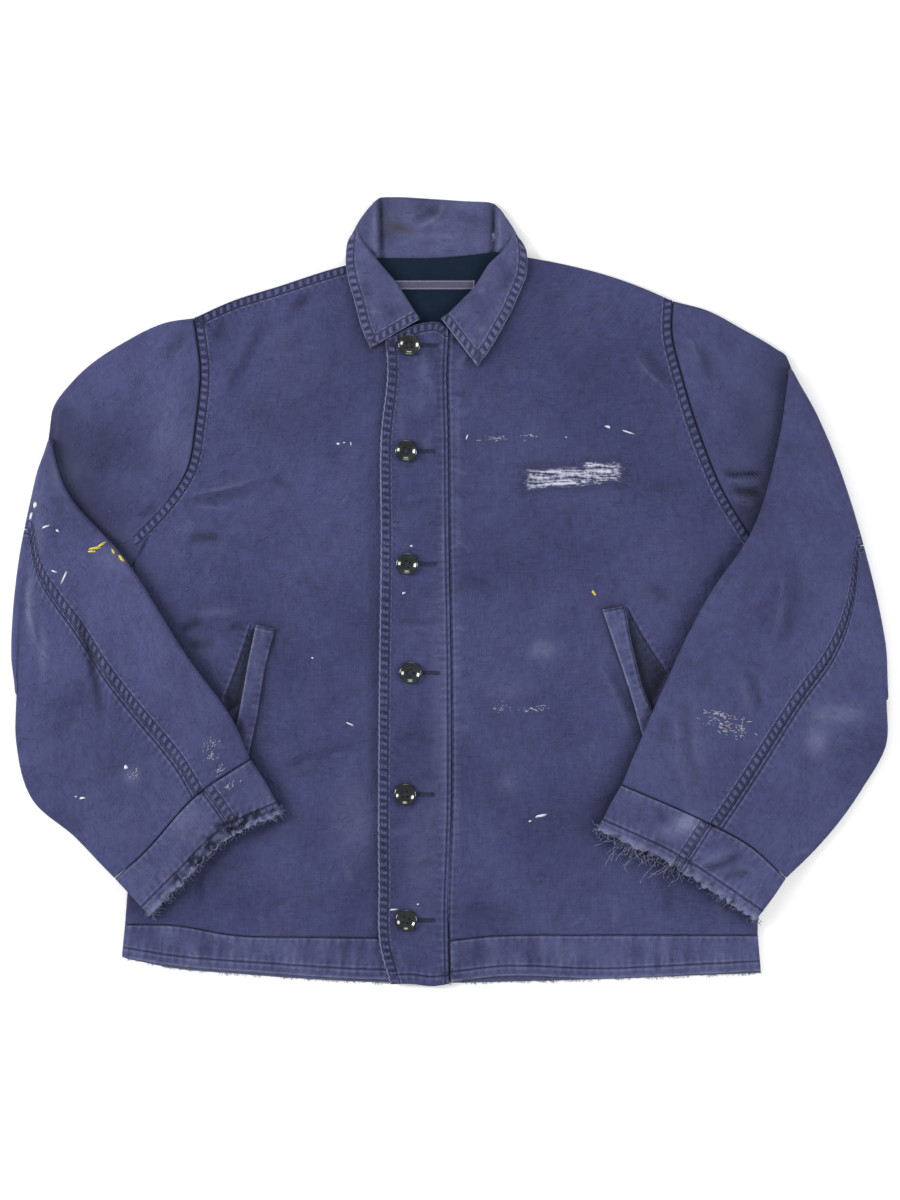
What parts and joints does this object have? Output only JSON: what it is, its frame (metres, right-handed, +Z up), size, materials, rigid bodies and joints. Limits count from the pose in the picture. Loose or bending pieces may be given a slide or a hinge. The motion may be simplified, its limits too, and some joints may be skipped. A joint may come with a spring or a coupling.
{
  "type": "utility jacket laid flat",
  "caption": "Button-front cotton utility jacket lying flat on its back, sleeves folded over at the elbows, with a turned collar, slanted pockets, cuffs and a waistband.",
  "frame": {"origin": "middle of the jacket's outline, on the surface it lies on", "axes": "+X to the wearer's left, +Y towards the collar, +Z up from the surface the jacket lies on"},
  "size_m": [0.8233, 0.7409, 0.0123],
  "materials": {
    "twill": "faded indigo corded cotton, matt, paler along its seams",
    "worn_twill": "the same cotton, more faded, with worn and frayed edges",
    "lining": "dark navy plain-weave lining",
    "stay_tape": "flat woven tape with a paler line at each edge",
    "button": "polished green-black plastic"
  },
  "bodies": {
    "root": {"back_panel": "twill", "front_right": "twill", "front_left": "twill", "placket": "twill", "waistband_back": "worn_twill", "waistband_front_right": "worn_twill", "waistband_front_left": "worn_twill", "collar": "worn_twill", "sleeve_right_top": "twill", "sleeve_right_under": "twill", "sleeve_left_top": "twill", "sleeve_left_under": "twill", "cuff_right": "worn_twill", "cuff_left": "worn_twill", "pocket_welt_right": "worn_twill", "pocket_welt_left": "worn_twill", "neck_lining": "lining", "neck_tape": "stay_tape", "button_1": "button", "button_2": "button", "button_3": "button", "button_4": "button", "button_5": "button", "button_6": "button"}
  },
  "joints": []
}
